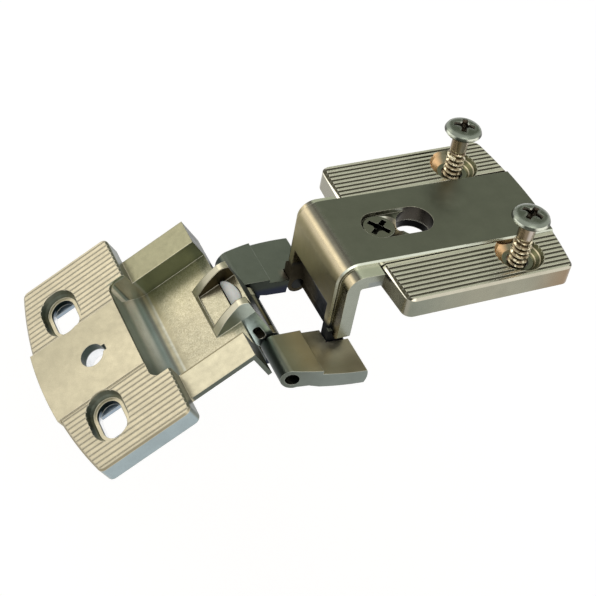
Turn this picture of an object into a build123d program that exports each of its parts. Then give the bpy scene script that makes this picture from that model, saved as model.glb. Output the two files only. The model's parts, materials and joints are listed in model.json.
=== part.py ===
"""Concealed cup hinge, wide opening, with two pivots.

A ribbed mounting plate is screwed to the cabinet side. A cranked arm slides in its channel
and is held by a clamp screw. A link yoke turns on the arm, and the door leaf turns on the yoke.

Frame: millimetres, +Z away from the cabinet side. The origin lies on the plate's underside,
midway between its two fixing holes. +X runs along the arm towards the plate's free end.
The pivots are parallel to Y. The leaf's own frame has its origin midway between its two slots,
on the flange's outer face, with X towards the pivots.
"""
from build123d import *
import math
import os

# ---- mounting plate ---------------------------------------------------------------------
hole_pitch = 32.0              # between fixing holes, on the plate and on the door leaf
plate_half_width = 23.4
plate_thickness = 5.2
plate_floor = 2.0              # under the arm
plate_front = 32.9             # from the holes to the front corners, beside the arm
plate_front_sweep = 0.7        # outer front corners stand back by this
plate_back = 10.4              # from the holes to the back corners
plate_back_bulge = 2.2         # the back edge is a shallow arc
plate_corner = 2.2
plate_edge = 0.5
plate_bevel_back = 1.0         # front bevel, along the top
plate_bevel_down = 0.6         # front bevel, down the face
rib_pitch = 1.32
rib_depth = 0.35
groove_width = 0.7
fixing_bore = 5.2
fixing_sink = 11.6             # countersink at the top face
fixing_land = 3.0              # height of the seat above the underside
fixing_land_width = 1.0
fixing_rim = 0.9               # depth of the countersink's upper cone
fixing_rim_width = 0.6

# ---- crank arm --------------------------------------------------------------------------
arm_half_width = 11.1          # raised band
arm_rise = 1.5                 # band above the plate, at the crank
arm_thickness = 3.3
arm_gap = 0.2                  # arm to channel, each side and below
crank_front = 43.5             # from the holes to the front face of the leg
ledge_near = 14.4              # half width of the step beside the band, near side
ledge_far = 12.6               # and far side
ledge_step = 1.0
ledge_gap = 0.9                # between the ledges and the plate's front edge
ledge_corner = 1.2
band_bevel = 0.4               # along the band's outer edges
bend_radius = 5.0
bend_inside = 0.6
depth_travel = 2.0             # the arm's adjustment
clamp_place = 28.3             # from the holes to the clamp screw
release_place = 19.0           # from the holes to the release hole
release_bore = 8.6

# ---- clamp screw ------------------------------------------------------------------------
clamp_head = 7.4
clamp_shank = 4.0
clamp_gap = 0.3                # round the head and shank
clamp_rim = 0.4                # cylindrical rim of the head
clamp_sink = 0.6               # head below the arm's surface
clamp_track = 8.6              # sunk track in the arm
clamp_base = 0.2               # shank's end above the underside
clamp_recess = 5.8             # across the cross recess
clamp_recess_depth = 1.5
clamp_recess_blade = 1.3
clamp_turn = 38                # degrees from the arm's line to a blade of the cross
recess_slope = 0.35            # blades of a cross recess narrow by this share of the depth
edge_break = 0.1
over_cut = 0.02                # a groove or recess starts this far above its face

# ---- pivots and link yoke ---------------------------------------------------------------
arm_pivot_drop = 17.2          # below the plate's underside
link_span = 14.55              # between the two pivots
link_rest_angle = 4.7          # the link's slope at rest, degrees
door_pin_diameter = 3.2
arm_pin_diameter = 3.0
pin_gap = 0.05                 # radial, in the part that turns
link_eye_radius = 2.6          # rounded end of the yoke at the door pivot
link_inner = 8.5               # half width between the yoke's cheeks
link_front_half = 18.9         # half width at the door end
link_step_half = 21.7
link_back_half = 22.8          # half width at the arm end
link_top = 2.9                 # above the pivot line, at the step
link_step = 0.9
link_step_place = 8.05         # from the arm pivot
link_bottom = 1.95             # below the pivot line
link_heel_rise = 0.2           # the underside rises by this to the tail
link_waist = 1.6               # below the pivot line, behind the eye
link_waist_place = 10.5        # from the arm pivot
link_tail = 2.7                # past the arm pivot
link_tail_bulge = 0.4
bridge_front = 1.5             # bridge between the cheeks: reach past the door pivot
bridge_back = 4.9              # bridge: reach from the door pivot towards the arm
bridge_thickness = 1.5
bridge_gap = 0.35              # bridge to the door leaf's knuckle
bridge_web = 2.0               # thickness of the webs that carry the bridge
door_pin_recess = 0.9
arm_pin_seat = 5.0             # depth of each stub pin in the yoke's cheek

# ---- foot of the arm --------------------------------------------------------------------
fork_inner = 9.0               # half width of the pocket between the arm's fork tines
fork_outer = 12.0
fork_eye_radius = 2.5          # its front is flush with the leg
fork_gap = 0.4                 # tines to the yoke
ledge_end_gap = 0.45           # ledges to the yoke's tail as it swings
pocket_wall = 1.2
pocket_gap = 0.35              # round the knuckle's sweep
pocket_top = 5.6               # pocket wall above the door pivot
pocket_bottom = 2.2            # and below it

# ---- door leaf --------------------------------------------------------------------------
rest_opening = 125.2           # door opening at rest, degrees from closed
leaf_half_width = 27.6
leaf_thickness = 4.8
leaf_outer = 6.4               # from the slots to the outer corners
leaf_outer_bulge = 4.3
leaf_inner = 16.9              # from the slots to the flange's inner edge
leaf_corner = 1.6
leaf_edge = 0.5
leaf_groove_width = 0.5
leaf_groove_depth = 0.25
leaf_band = 10.0               # half width of the smooth middle band
leaf_band_rise = 0.3
leaf_band_reach = 0.4          # band past the flange's outer edge
slot_width = 6.0
slot_length = 9.6
slot_sink_width = 9.2
slot_sink_depth = 2.2
slot_sink_taper = 20
tab_reach = 1.5                # lips at the ends of each slot
tab_thickness = 1.0
peg_bore = 5.6                 # middle hole
peg_place = 2.6
peg_notch = 1.6
cup_half_width = 14.8
scoop_corner = 2.2             # rounded corners of the channel's outer end
cup_depth = 10.1               # channel floor below the flange's face
cup_wall = 1.4
rail_half_width = 21.9
rail_drop = 4.3                # rail below the flange's face
rail_thickness = 1.3
cup_end = 32.6                 # from the slots to the end wall
end_wall = 1.0
end_wall_bottom = 12.9
door_pivot_place = 35.4        # from the slots
door_pivot_depth = 21.7        # below the flange's face
knuckle_half_width = 7.6
knuckle_draft = 0.85           # each side narrows by this from floor to crest
knuckle_radius = 2.5
knuckle_root = 27.0            # from the slots to the foot of the crown
knuckle_rise = (31.0, -7.75)   # a point on the crown
knuckle_crest = (35.4, -6.35)
knuckle_brow = (36.7, -6.65)
knuckle_tip = (37.45, -7.2)
knuckle_front = 37.1           # front face at the pivot
knuckle_heel = 30.6            # back face at the end wall's foot
knuckle_back = 33.0            # back face at the pivot
ear_inner = 4.9                # half width between the two ears of the knuckle
ear_start = 27.9
ramp_drop = 11.6               # foot of the ramp between the ears, below the flange's face
rim_drop = 10.4                # front rim between the ears

# ---- nylon catch ------------------------------------------------------------------------
well_back = 33.2               # from the slots
well_front = 36.6              # at the middle
well_corner = 34.0             # beside the ears
well_drop = 19.3
catch_gap = 0.2
catch_crest_drop = 9.1         # below the flange's face
catch_shoulder_drop = 10.6
catch_bottom_drop = 16.9
catch_pin_diameter = 1.8
catch_pin_half = 5.9
catch_pin_place = 34.8         # from the slots
catch_pin_drop = 15.8          # below the flange's face
catch_slot_gap = 0.05
catch_slot_length = 2.7        # between the slot's end centres
spring_wire = 0.35
spring_diameter = 2.6
spring_turns = 2.25
spring_gap = 0.03              # at each end

# ---- fixing screws ----------------------------------------------------------------------
screw_head = 9.0
screw_head_height = 2.3
screw_head_skirt = 0.4         # cone under the rim
screw_dome = 1.8               # height of the domed part
screw_dome_turns = (0, 30, 50, 70, 90)  # degrees between the flats of the dome
screw_stand = 12.4             # head's top above the plate
screw_neck = 4.0
screw_neck_length = 5.0
screw_core = 3.4
screw_end = 3.0                # the core narrows to this at the plate's underside
screw_end_length = 3.0         # straight end below the plate
screw_tip = 2.8                # point
screw_tip_blunt = 0.5
screw_recess = 5.2             # across the cross recess
screw_recess_depth = 2.0
screw_recess_blade = 1.3
screw_turns = {-1: 33, 1: 57}  # degrees to a blade of the cross, near and far screw

# ---- derived places ---------------------------------------------------------------------
RIB_EDGE = arm_half_width + arm_gap
ARM_UNDER = plate_floor + arm_gap
ARM_TOP_FRONT = plate_thickness + arm_rise
PLATE_END = plate_back + plate_back_bulge
ARM_SLOPE = arm_rise / (crank_front + PLATE_END)
LEG_BACK = -crank_front + ledge_step + arm_thickness
ARM_PIVOT = (fork_eye_radius - crank_front, -arm_pivot_drop)
DOOR_PIVOT = (
    ARM_PIVOT[0] - link_span * math.cos(math.radians(link_rest_angle)),
    ARM_PIVOT[1] + link_span * math.sin(math.radians(link_rest_angle)),
)
LEAF_TILT = rest_opening - 90.0
LEAF_PIVOT = (door_pivot_place, -door_pivot_depth)
LINK_TAIL_TOP = link_top - link_step
LINK_TAIL_REACH = math.hypot(link_tail + link_tail_bulge, LINK_TAIL_TOP)
FORK_SIDE = fork_outer + fork_gap
FAR = 100.0                    # longer than anything it cuts


def slab(outline, half_width):
    """Extrude an X-Z outline to both sides of Y = 0."""
    return extrude(Plane.XZ * outline, amount=half_width, both=True)


def slab_between(outline, low, high):
    """Extrude an X-Z outline between two Y places."""
    return Pos(0, high, 0) * extrude(Plane.XZ * outline, amount=high - low)


def block(x0, x1, half, z0, z1):
    """Box between two X and two Z places, symmetrical in Y."""
    return Pos((x0 + x1) / 2, 0, (z0 + z1) / 2) * Box(x1 - x0, 2 * half, z1 - z0)


def pin_y(centre, diameter, half_length):
    """Cylinder along Y, centred on Y = 0."""
    return Pos(centre[0], 0, centre[1]) * Rot(90, 0, 0) * Cylinder(diameter / 2, 2 * half_length)


def disc(centre, radius):
    """Filled circle in a flat outline."""
    return Pos(centre[0], centre[1]) * Circle(radius)


def outline_of(*points):
    """Closed straight-sided outline."""
    return make_face(Polyline(*points, close=True))


def turned(*points):
    """Solid of revolution about Z from an outline in radius and height."""
    return revolve(Plane.XZ * outline_of(*points), Axis.Z)


def groove_x(width, depth):
    """V-shaped groove along X with its mouth at Z = 0."""
    mouth = width / 2 + over_cut
    section = outline_of((-mouth, over_cut), (0, -depth), (mouth, over_cut))
    return extrude(Plane.YZ * section, amount=FAR, both=True)


def cross_recess(width, depth, blade):
    """Cross for a screwdriver: four blades round a pyramid, narrowing downwards from Z = 0."""
    top = width / 2
    foot = top - depth * recess_slope
    one = slab(outline_of((-top, over_cut), (top, over_cut), (foot, -depth), (-foot, -depth)), blade / 2)
    mouth = Pos(0, 0, over_cut) * Rectangle(2 * blade, 2 * blade)
    middle = Rot(0, 0, 45) * loft([mouth, Pos(0, 0, -depth) * Rectangle(blade, blade)])
    return one + Rot(0, 0, 90) * one + middle


# ---- mounting plate ---------------------------------------------------------------------
def plate_outline():
    """Plan of the plate: swept front edges, an arc at the back."""
    front = -plate_front + plate_front_sweep
    arc = ThreePointArc((plate_back, -plate_half_width), (PLATE_END, 0), (plate_back, plate_half_width))
    rest = Polyline(
        (plate_back, plate_half_width), (front, plate_half_width), (-plate_front, RIB_EDGE),
        (-plate_front, -RIB_EDGE), (front, -plate_half_width), (plate_back, -plate_half_width),
    )
    return make_face(arc + rest)


def groove_places():
    """Half widths of the grooves across each ribbed wing."""
    wing = plate_half_width - RIB_EDGE
    count = int((wing - groove_width) / rib_pitch)
    first = RIB_EDGE + (wing - (count - 1) * rib_pitch) / 2
    return [first + i * rib_pitch for i in range(count)]


def fixing_seat():
    """Bore and stepped countersink of one fixing hole."""
    r_bore = fixing_bore / 2
    r_sink = fixing_sink / 2
    over = plate_thickness + 1
    return turned(
        (0, -1), (r_bore, -1), (r_bore, fixing_land), (r_bore + fixing_land_width, fixing_land),
        (r_sink - fixing_rim_width, plate_thickness - fixing_rim), (r_sink, plate_thickness),
        (r_sink, over), (0, over),
    )


def front_bevel(side):
    """Wedge that bevels the top front edge of one wing."""
    sweep = math.degrees(math.atan2(plate_front_sweep, plate_half_width - RIB_EDGE))
    wedge = outline_of((-1, 1), (-1, -plate_bevel_down * 2), (0, -plate_bevel_down),
                       (plate_bevel_back, 0), (plate_bevel_back, 1))
    return Pos(-plate_front, side * RIB_EDGE, plate_thickness) * Rot(0, 0, -side * sweep) * slab(wedge, FAR)


def make_mounting_plate():
    body = extrude(plate_outline(), amount=plate_thickness)
    corners = [e for e in body.edges().filter_by(Axis.Z) if abs(e.center().Y) > plate_half_width - 1]
    body = fillet(corners, plate_corner)
    body = chamfer(body.faces().sort_by(Axis.Z)[-1].edges(), plate_edge)
    for side in (-1, 1):
        wing = Pos(0, side * (FAR / 2 + RIB_EDGE), 0) * Box(4 * FAR, FAR, FAR)
        body -= front_bevel(side) & wing
        for place in groove_places():
            body -= Pos(0, side * place, plate_thickness) * groove_x(groove_width, rib_depth)
        body -= Pos(0, side * hole_pitch / 2, 0) * fixing_seat()
    body -= block(-FAR, FAR, RIB_EDGE, plate_floor, FAR)
    body -= Pos(-clamp_place, 0, 0) * Cylinder(clamp_shank / 2 + pin_gap, FAR)
    body -= Pos(-release_place, 0, 0) * Cylinder(release_bore / 2, FAR)
    return body


# ---- crank arm --------------------------------------------------------------------------
def arm_side(inset, bottom):
    """Side view of the cranked arm, its outer skin drawn inset."""
    front = -crank_front + inset
    top_front = ARM_TOP_FRONT - inset
    top_back = top_front - arm_rise
    outline = outline_of(
        (PLATE_END, top_back), (front, top_front), (front, bottom), (LEG_BACK, bottom),
        (LEG_BACK, ARM_UNDER), (PLATE_END, ARM_UNDER),
    )
    outer = outline.vertices().sort_by_distance((front, top_front, 0))[0]
    outline = fillet(outer, bend_radius - inset)
    inner = outline.vertices().sort_by_distance((LEG_BACK, ARM_UNDER, 0))[0]
    return fillet(inner, bend_inside)


def sweep_radius():
    """Reach of the knuckle's crest and tip from the door pivot."""
    corners = (knuckle_crest, knuckle_brow, knuckle_tip)
    return max(math.dist(corner, LEAF_PIVOT) for corner in corners)


def tine_outline():
    """Side view of one fork tine: the leg's lower part, ending round the arm pivot."""
    top = ARM_PIVOT[1] + 2 * LINK_TAIL_REACH
    low = ARM_PIVOT[1]
    leg = outline_of((-crank_front, top), (-crank_front, low), (LEG_BACK, low), (LEG_BACK, top))
    return leg + disc(ARM_PIVOT, fork_eye_radius)


def pocket_back():
    """Curved wall behind the pocket that the knuckle enters."""
    inner = sweep_radius() + pocket_gap
    ring = disc(DOOR_PIVOT, inner + pocket_wall) - disc(DOOR_PIVOT, inner)
    start = LEG_BACK - pocket_wall
    keep = outline_of(
        (start, DOOR_PIVOT[1] + pocket_top), (start, DOOR_PIVOT[1] - pocket_bottom),
        (0, DOOR_PIVOT[1] - pocket_bottom), (0, DOOR_PIVOT[1] + pocket_top),
    )
    return slab(ring & keep, (fork_inner + fork_outer) / 2)


def arm_band(bottom):
    """Raised band with bevelled edges along its top, bend and front."""
    band = slab(arm_side(0, bottom), arm_half_width)
    sides = [e for e in band.edges() if abs(abs(e.center().Y) - arm_half_width) < edge_break]
    foremost = bend_radius / 2 - crank_front
    front = [e for e in sides if e.center().X < foremost and e.center().Z > bottom + edge_break]
    top = [e for e in sides if e.center().X > foremost and e.center().Z > plate_thickness]
    return chamfer(front + top, band_bevel)


def make_crank_arm():
    ledge_end = ARM_PIVOT[1] + LINK_TAIL_REACH + ledge_end_gap
    ledges = slab_between(arm_side(ledge_step, ledge_end), -ledge_near, ledge_far)
    ledges -= block(-plate_front - ledge_gap, FAR, FAR, -FAR, FAR)
    foot = [e for e in ledges.edges().filter_by(Axis.X) if e.center().Z < ledge_end + 1]
    ledges = fillet(foot, ledge_corner)
    arm = arm_band(ledge_end) + ledges
    tines = slab(tine_outline(), fork_outer)
    tines -= block(-FAR, LEG_BACK + 1, FAR, ledge_end + 1, FAR)
    arm += tines + pocket_back()
    arm -= slab(disc(DOOR_PIVOT, sweep_radius() + pocket_gap), fork_inner)
    arm -= block(-FAR, FAR, fork_inner, -FAR, DOOR_PIVOT[1] - pocket_bottom)
    arm -= pin_y(ARM_PIVOT, arm_pin_diameter + 2 * pin_gap, FAR)
    arm &= extrude(arm_plan(), amount=FAR, both=True)
    return cut_keyhole(arm)


def arm_plan():
    """Plan limit of the arm: it ends on the same arc as the plate."""
    half = plate_half_width
    arc = ThreePointArc((plate_back, half), (PLATE_END, 0), (plate_back, -half))
    rest = Polyline((plate_back, -half), (-FAR, -half), (-FAR, half), (plate_back, half))
    return make_face(arc + rest)


def clamp_top():
    """Height of the clamp screw's head."""
    return plate_thickness + ARM_SLOPE * (clamp_place + PLATE_END) - clamp_sink


def cut_keyhole(arm):
    """Sunk track, slot for the clamp screw and release hole."""
    floor = clamp_top() - clamp_rim - clamp_gap
    middle = -(clamp_place + release_place) / 2
    track = Pos(middle, 0, floor) * extrude(
        SlotCenterToCenter(clamp_place - release_place, clamp_track), amount=FAR)
    along = -clamp_place + depth_travel / 2
    seat = Pos(along, 0, floor) * extrude(
        SlotCenterToCenter(depth_travel, clamp_head + 2 * clamp_gap),
        amount=-(clamp_head - clamp_shank) / 2, taper=45)
    slot = Pos(along, 0, 0) * extrude(
        SlotCenterToCenter(depth_travel, clamp_shank + 2 * clamp_gap), amount=floor)
    hole = Pos(-release_place, 0, 0) * Cylinder(release_bore / 2, FAR)
    return arm - track - seat - slot - hole


def make_clamp_screw():
    top = clamp_top()
    r_head = clamp_head / 2
    r_shank = clamp_shank / 2
    cone = top - clamp_rim - (r_head - r_shank)
    screw = turned(
        (0, clamp_base), (r_shank - clamp_rim, clamp_base), (r_shank, clamp_base + clamp_rim),
        (r_shank, cone), (r_head, top - clamp_rim), (r_head, top - edge_break),
        (r_head - edge_break, top), (0, top),
    )
    recess = cross_recess(clamp_recess, clamp_recess_depth, clamp_recess_blade)
    screw -= Pos(0, 0, top) * Rot(0, 0, clamp_turn) * recess
    return Pos(-clamp_place, 0, 0) * screw


# ---- link yoke --------------------------------------------------------------------------
def link_side():
    """Side view of the yoke along its own pivot line, the arm pivot at the origin."""
    step = -link_step_place
    eye = (-link_span, 0)
    heel = (link_tail, -link_bottom + link_heel_rise)
    crest = (link_tail, LINK_TAIL_TOP)
    tail = ThreePointArc(crest, (link_tail + link_tail_bulge, 0), heel)
    back = make_face(Polyline(heel, (step, -link_bottom), (step, LINK_TAIL_TOP), crest) + tail)
    front = outline_of(
        (step + 0.01, link_top), (eye[0] - 0.4, link_eye_radius - 0.03),
        (eye[0] - 0.4, -link_eye_radius + 0.03), (-link_waist_place, -link_waist),
        (step + 0.01, -link_bottom),
    )
    return back + front + disc(eye, link_eye_radius)


def link_plan():
    """Plan of the yoke's outer skin along its own pivot line."""
    tail = link_tail + 1
    nose = -link_span - link_eye_radius - 1
    far = ThreePointArc((tail, link_back_half), (-link_step_place, link_step_half), (nose, link_front_half))
    near = ThreePointArc((nose, -link_front_half), (-link_step_place, -link_step_half), (tail, -link_back_half))
    front = Line((nose, link_front_half), (nose, -link_front_half))
    back = Line((tail, -link_back_half), (tail, link_back_half))
    return make_face(far + near + front + back)


def link_bridge():
    """Bridge under the knuckle, with a web up to each cheek."""
    front = -link_span - bridge_front
    back = -link_span + bridge_back
    top = -knuckle_radius - bridge_gap
    half = link_inner + bridge_web
    bridge = block(front, back, half, top - bridge_thickness, 0)
    return bridge - block(-FAR, FAR, link_inner, top, FAR)


def make_link_yoke():
    body = slab(link_side(), link_back_half + 1)
    body &= extrude(link_plan(), amount=FAR, both=True)
    body -= block(-FAR, FAR, link_inner, -FAR, FAR)
    body -= block(-fork_eye_radius - fork_gap, FAR, FORK_SIDE, -FAR, FAR)
    body += link_bridge()
    body -= pin_y((-link_span, 0), door_pin_diameter, FAR)
    body -= pin_y((0, 0), arm_pin_diameter, FORK_SIDE + arm_pin_seat)
    return Pos(ARM_PIVOT[0], 0, ARM_PIVOT[1]) * Rot(0, link_rest_angle, 0) * body


def make_door_pin():
    return pin_y(DOOR_PIVOT, door_pin_diameter, link_front_half - door_pin_recess)


def make_arm_pin(side):
    """Stub pin, blind in one cheek of the yoke and through one tine."""
    outer = FORK_SIDE + arm_pin_seat
    stub = Rot(90, 0, 0) * Cylinder(arm_pin_diameter / 2, outer - fork_inner)
    return Pos(ARM_PIVOT[0], side * (outer + fork_inner) / 2, ARM_PIVOT[1]) * stub


# ---- door leaf --------------------------------------------------------------------------
def place_leaf(shape):
    """Move a shape drawn in the leaf's own frame to its place at rest."""
    home = Pos(-LEAF_PIVOT[0], 0, -LEAF_PIVOT[1])
    return Pos(DOOR_PIVOT[0], 0, DOOR_PIVOT[1]) * Rot(0, -LEAF_TILT, 0) * home * shape


def leaf_plan(grow):
    """Plan of the flange: an arc along the outer edge."""
    half = leaf_half_width
    outer = -leaf_outer - grow
    arc = ThreePointArc((outer, half), (outer - leaf_outer_bulge, 0), (outer, -half))
    rest = Polyline((outer, -half), (leaf_inner, -half), (leaf_inner, half), (outer, half))
    return make_face(arc + rest)


def leaf_flange():
    flange = extrude(leaf_plan(0), amount=-leaf_thickness)
    corners = [e for e in flange.edges().filter_by(Axis.Z) if abs(e.center().Y) > leaf_half_width - 1]
    flange = fillet(corners, leaf_corner)
    flange = chamfer(flange.faces().sort_by(Axis.Z)[-1].edges(), leaf_edge)
    count = int((leaf_half_width - leaf_band) / rib_pitch)
    groove = groove_x(leaf_groove_width, leaf_groove_depth)
    for i in range(count):
        for side in (-1, 1):
            flange -= Pos(0, side * (leaf_band + (i + 0.5) * rib_pitch), 0) * groove
    band = leaf_plan(leaf_band_reach) & Rectangle(FAR, 2 * leaf_band)
    return flange + Pos(0, 0, leaf_band_rise) * extrude(band, amount=-leaf_thickness - leaf_band_rise)


def leaf_slot(side):
    """Sunk oval slot with a lip left at each end."""
    span = slot_length - slot_width
    inner = SlotCenterToCenter(span, slot_width, rotation=90)
    outer = SlotCenterToCenter(span, slot_sink_width, rotation=90)
    through = Pos(0, 0, 1) * extrude(inner, amount=-leaf_thickness - 2)
    for end in (-1, 1):
        lip = Pos(0, end * (slot_length - tab_reach) / 2) * Rectangle(slot_width, tab_reach)
        through -= Pos(0, 0, -leaf_thickness - 1) * extrude(lip, amount=tab_thickness + 1)
    sink = extrude(outer, amount=-slot_sink_depth, taper=slot_sink_taper) + extrude(outer, amount=1)
    return Pos(0, side * hole_pitch / 2, 0) * (through + sink)


def peg_hole():
    """Middle hole with one notch."""
    notch = Pos(peg_bore / 2, 0, 0) * Box(peg_notch, peg_notch, FAR)
    return Pos(peg_place, 0, 0) * (Cylinder(peg_bore / 2, FAR) + notch)


def scoop_centre():
    """Centre of the arm's bend in the leaf's own frame, with the door closed."""
    along = door_pivot_place - (ARM_TOP_FRONT - bend_radius - DOOR_PIVOT[1])
    depth = -door_pivot_depth + (-crank_front + bend_radius - DOOR_PIVOT[0])
    return along, depth


def scoop_outline(skin, end, top):
    """Side view of the open channel, grown by a skin: a scoop, then a flat floor."""
    cx, cz = scoop_centre()
    floor = -cup_depth - skin
    r = cz - floor
    d = r * math.sin(math.radians(45))
    curve = ThreePointArc((cx - r, cz), (cx - d, cz - d), (cx, floor))
    rest = Polyline((cx, floor), (end, floor), (end, top), (cx - r, top), (cx - r, cz))
    return make_face(curve + rest)


def channel():
    """Open channel, its outer corners rounded in plan."""
    cx, cz = scoop_centre()
    start = cx - (cz + cup_depth)
    plan = Pos((start + FAR) / 2, 0) * Rectangle(FAR - start, 2 * cup_half_width)
    plan = fillet(plan.vertices().sort_by(Axis.X)[:2], scoop_corner)
    return slab(scoop_outline(0, FAR, FAR), cup_half_width) & extrude(plan, amount=FAR, both=True)


def cup_shell():
    """Channel body, rails and end wall, before the channel is cut."""
    end = cup_end + end_wall
    trough = slab(scoop_outline(cup_wall, end, -leaf_thickness / 2), cup_half_width + cup_wall)
    trough -= block(leaf_inner, FAR, FAR, -rail_drop, FAR)
    rails = block(leaf_inner - 2, end, rail_half_width, -rail_drop - rail_thickness, -rail_drop)
    wall = block(cup_end, end, rail_half_width, -end_wall_bottom, -rail_drop)
    return trough + rails + wall


def knuckle_outline():
    """Side view of the knuckle: crown, front face, eye and back."""
    root = (knuckle_root, -cup_depth)
    heel = (knuckle_heel, -end_wall_bottom)
    crown = ThreePointArc(root, knuckle_rise, knuckle_crest)
    crown += ThreePointArc(knuckle_crest, knuckle_brow, knuckle_tip)
    rest = Polyline(
        knuckle_tip, (knuckle_front, LEAF_PIVOT[1]), (knuckle_back, LEAF_PIVOT[1]), heel,
        (knuckle_root, -cup_depth - cup_wall), root,
    )
    return make_face(crown + rest) + disc(LEAF_PIVOT, knuckle_radius)


def knuckle():
    """Knuckle with drafted ears, a ramp between them and the catch's well."""
    body = slab(knuckle_outline(), knuckle_half_width)
    slope = knuckle_draft / (cup_depth + knuckle_crest[1])
    top = knuckle_half_width - knuckle_draft - slope
    bottom = knuckle_half_width
    crest = knuckle_crest[1] + 1
    ears = outline_of(
        (-top, crest), (top, crest), (bottom, -cup_depth), (bottom, -FAR), (-bottom, -FAR),
        (-bottom, -cup_depth),
    )
    body &= extrude(Plane.YZ * ears, amount=FAR, both=True)
    between = outline_of(
        (ear_start, -cup_depth), (well_back, -ramp_drop), (well_back, -rim_drop), (FAR, -rim_drop),
        (FAR, 0), (ear_start, 0),
    )
    body -= slab(between, ear_inner)
    return body


def well_plan(inset):
    """D-shaped plan of the catch's well: flat behind, bulging to the front."""
    half = ear_inner - inset
    back = well_back + inset
    corner = well_corner - inset
    front = ThreePointArc((corner, -half), (well_front - inset, 0), (corner, half))
    return make_face(front + Polyline((corner, half), (back, half), (back, -half), (corner, -half)))


def well():
    return Pos(0, 0, -well_drop) * extrude(well_plan(0), amount=FAR)


def catch_track():
    """Slot through the ears for the catch pin."""
    radius = catch_pin_diameter / 2 + catch_slot_gap
    high = (catch_pin_place, -catch_pin_drop)
    low = (catch_pin_place, -catch_pin_drop - catch_slot_length)
    middle = Pos(catch_pin_place, (high[1] + low[1]) / 2) * Rectangle(2 * radius, catch_slot_length)
    return slab(disc(high, radius) + disc(low, radius) + middle, FAR)


def make_door_leaf():
    leaf = leaf_flange() + cup_shell()
    leaf -= channel()
    leaf += knuckle()
    leaf -= well()
    leaf -= catch_track()
    leaf -= pin_y(LEAF_PIVOT, door_pin_diameter + 2 * pin_gap, FAR)
    for side in (-1, 1):
        leaf -= leaf_slot(side)
    leaf -= peg_hole()
    return place_leaf(leaf)


def make_nylon_catch():
    x0 = well_back + catch_gap
    x1 = well_front - catch_gap
    shoulders = ((x0, -catch_shoulder_drop), (x1, -catch_shoulder_drop))
    dome = ThreePointArc(shoulders[0], ((x0 + x1) / 2, -catch_crest_drop), shoulders[1])
    rest = Polyline(shoulders[1], (x1, -catch_bottom_drop), (x0, -catch_bottom_drop), shoulders[0])
    catch = slab(make_face(dome + rest), ear_inner - catch_gap)
    catch &= extrude(well_plan(catch_gap), amount=FAR, both=True)
    catch -= pin_y((catch_pin_place, -catch_pin_drop), catch_pin_diameter, FAR)
    return place_leaf(catch)


def make_catch_pin():
    return place_leaf(pin_y((catch_pin_place, -catch_pin_drop), catch_pin_diameter, catch_pin_half))


def make_catch_spring():
    """Coil between the well's floor and the catch."""
    length = well_drop - catch_bottom_drop - spring_wire - 2 * spring_gap
    helix = Helix(pitch=length / spring_turns, height=length, radius=(spring_diameter - spring_wire) / 2)
    coil = sweep(Plane(origin=helix @ 0, z_dir=helix % 0) * RegularPolygon(spring_wire / 2, 4), path=helix)
    return place_leaf(Pos((well_back + well_front) / 2, 0, -well_drop + spring_wire / 2 + spring_gap) * coil)


# ---- fixing screws ----------------------------------------------------------------------
def screw_head_outline(under, top):
    """Half section of the head: a dome in flats over a conical skirt."""
    radius = screw_head / 2
    turns = [math.radians(turn) for turn in screw_dome_turns]
    rim = top - screw_dome
    dome = [(radius * math.sin(turn), rim + screw_dome * math.cos(turn)) for turn in turns]
    return dome + [(radius - screw_head_skirt, under)]


def make_fixing_screw(side):
    top = plate_thickness + screw_stand
    under = top - screw_head_height
    neck = under - screw_neck_length
    r_neck = screw_neck / 2
    r_core = screw_core / 2
    r_end = screw_end / 2
    shank = [
        (r_neck, under), (r_neck, neck), (r_core, neck - 2 * (r_neck - r_core)), (r_core, 2 * (r_core - r_end)),
        (r_end, 0), (r_end, -screw_end_length), (screw_tip_blunt / 2, -screw_end_length - screw_tip),
        (0, -screw_end_length - screw_tip),
    ]
    screw = turned(*screw_head_outline(under, top), *shank)
    recess = cross_recess(screw_recess, screw_recess_depth, screw_recess_blade)
    screw -= Pos(0, 0, top) * Rot(0, 0, screw_turns[side]) * recess
    return Pos(0, side * hole_pitch / 2, 0) * screw


def export_node(shape, name, colour):
    """Write one piece."""
    shape.label = name
    shape.color = Color(colour)
    export_step(shape, f"parts/{name}.step")


os.makedirs("parts", exist_ok=True)
export_node(make_mounting_plate(), "mounting_plate", 0x8C8C74)
export_node(make_crank_arm(), "crank_arm", 0x6C8078)
export_node(make_clamp_screw(), "clamp_screw", 0xB0B090)
export_node(make_link_yoke(), "link_yoke", 0x506860)
export_node(make_door_pin(), "door_pin", 0x303030)
export_node(make_arm_pin(1), "arm_pin_far", 0x303030)
export_node(make_arm_pin(-1), "arm_pin_near", 0x303030)
export_node(make_door_leaf(), "door_leaf", 0xC8B890)
export_node(make_nylon_catch(), "nylon_catch", 0xF0F0EC)
export_node(make_catch_pin(), "catch_pin", 0x303030)
export_node(make_catch_spring(), "catch_spring", 0x909090)
export_node(make_fixing_screw(1), "fixing_screw_far", 0xD0D0C8)
export_node(make_fixing_screw(-1), "fixing_screw_near", 0xD0D0C8)
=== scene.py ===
"""Looks of the concealed cup hinge: finishes, screw threads, floor, lights and camera."""

import json
import math

import bmesh
import bpy
from mathutils import Matrix, Vector


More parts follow.
